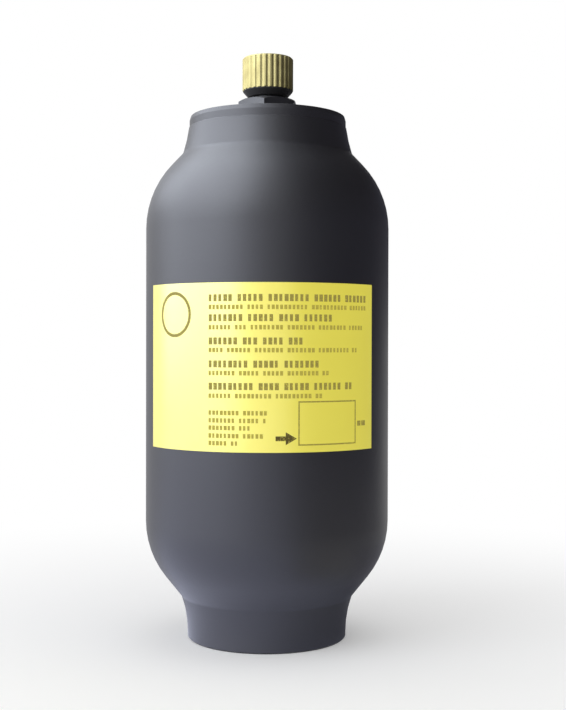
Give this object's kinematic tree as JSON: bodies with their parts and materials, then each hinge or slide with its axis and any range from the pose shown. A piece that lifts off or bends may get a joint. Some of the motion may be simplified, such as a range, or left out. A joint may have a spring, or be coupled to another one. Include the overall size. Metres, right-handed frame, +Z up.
{
  "type": "bladder accumulator",
  "caption": "Hydraulic bladder accumulator: spun steel bottle shell with wide necks, yellow sticker, knurled brass cap on the gas valve, flush fluid port with poppet.",
  "frame": {"origin": "centre of the shell's lower rim, in the plane that it stands on", "axes": "+Z up along the shell's axis to the gas valve, -Y towards the front with the label, +X to its right"},
  "size_m": [0.1142, 0.1144, 0.2731],
  "materials": {
    "shell_paint": "satin dark blue-grey enamel",
    "label_vinyl": "printed yellow vinyl, semi-gloss",
    "bladder_rubber": "moulded matt nitrile",
    "stem_steel": "turned, phosphated",
    "nut_steel": "hex nut, painted with the shell",
    "core_brass": "turned",
    "core_ptfe": "turned PTFE",
    "pin_steel": "zinc plated",
    "seal_rubber": "moulded nitrile",
    "collar_rubber": "moulded, smooth matt",
    "spring_steel": "drawn wire, ends ground",
    "cap_brass": "turned and straight-knurled, pale brass",
    "port_steel": "turned",
    "poppet_steel": "turned and ground",
    "bush_bronze": "turned bronze",
    "ring_nut_steel": "turned, milled slots"
  },
  "bodies": {
    "accumulator": {"shell": "shell_paint", "label": "label_vinyl", "bladder": "bladder_rubber", "bladder_stem": "stem_steel", "stem_nut": "nut_steel", "valve_core": "core_brass", "core_washer": "core_ptfe", "core_spring": "spring_steel", "cap_seal": "collar_rubber", "port_body": "port_steel", "anti_extrusion_ring": "seal_rubber", "support_washer": "port_steel", "port_o_ring": "seal_rubber", "backup_ring": "core_ptfe", "spacer_ring": "port_steel", "ring_nut": "ring_nut_steel", "poppet_spring": "spring_steel"},
    "cap_gasket": {"cap_gasket": "seal_rubber"},
    "cap": {"cap": "cap_brass"},
    "core_pin": {"core_pin": "pin_steel", "core_seal": "seal_rubber"},
    "poppet": {"poppet": "poppet_steel", "brake_bush": "bush_bronze", "poppet_nut": "pin_steel"}
  },
  "joints": [
    {"name": "cap_lift", "type": "slide", "parent": "accumulator", "child": "cap_gasket", "axis": [0, 0, 1], "range_m": [0, 0.0113]},
    {"name": "cap_turn", "type": "hinge", "parent": "cap_gasket", "child": "cap", "pos_m": [0, 0, 0.2577], "axis": [0, 0, 1], "range_deg": [0, 2880]},
    {"name": "pin_press", "type": "slide", "parent": "accumulator", "child": "core_pin", "axis": [0, 0, -1], "range_m": [0, 0.0012], "stiffness_N_per_m": 2000, "springref_m": -0.001, "deforming": ["core_spring"]},
    {"name": "poppet_close", "type": "slide", "parent": "accumulator", "child": "poppet", "axis": [0, 0, -1], "range_m": [0, 0.006], "stiffness_N_per_m": 1500, "springref_m": -0.004, "deforming": ["poppet_spring"]}
  ],
  "couplings": [
    {"joint": "cap_lift", "follows": "cap_turn", "m_per_rad": 0.00022458}
  ]
}
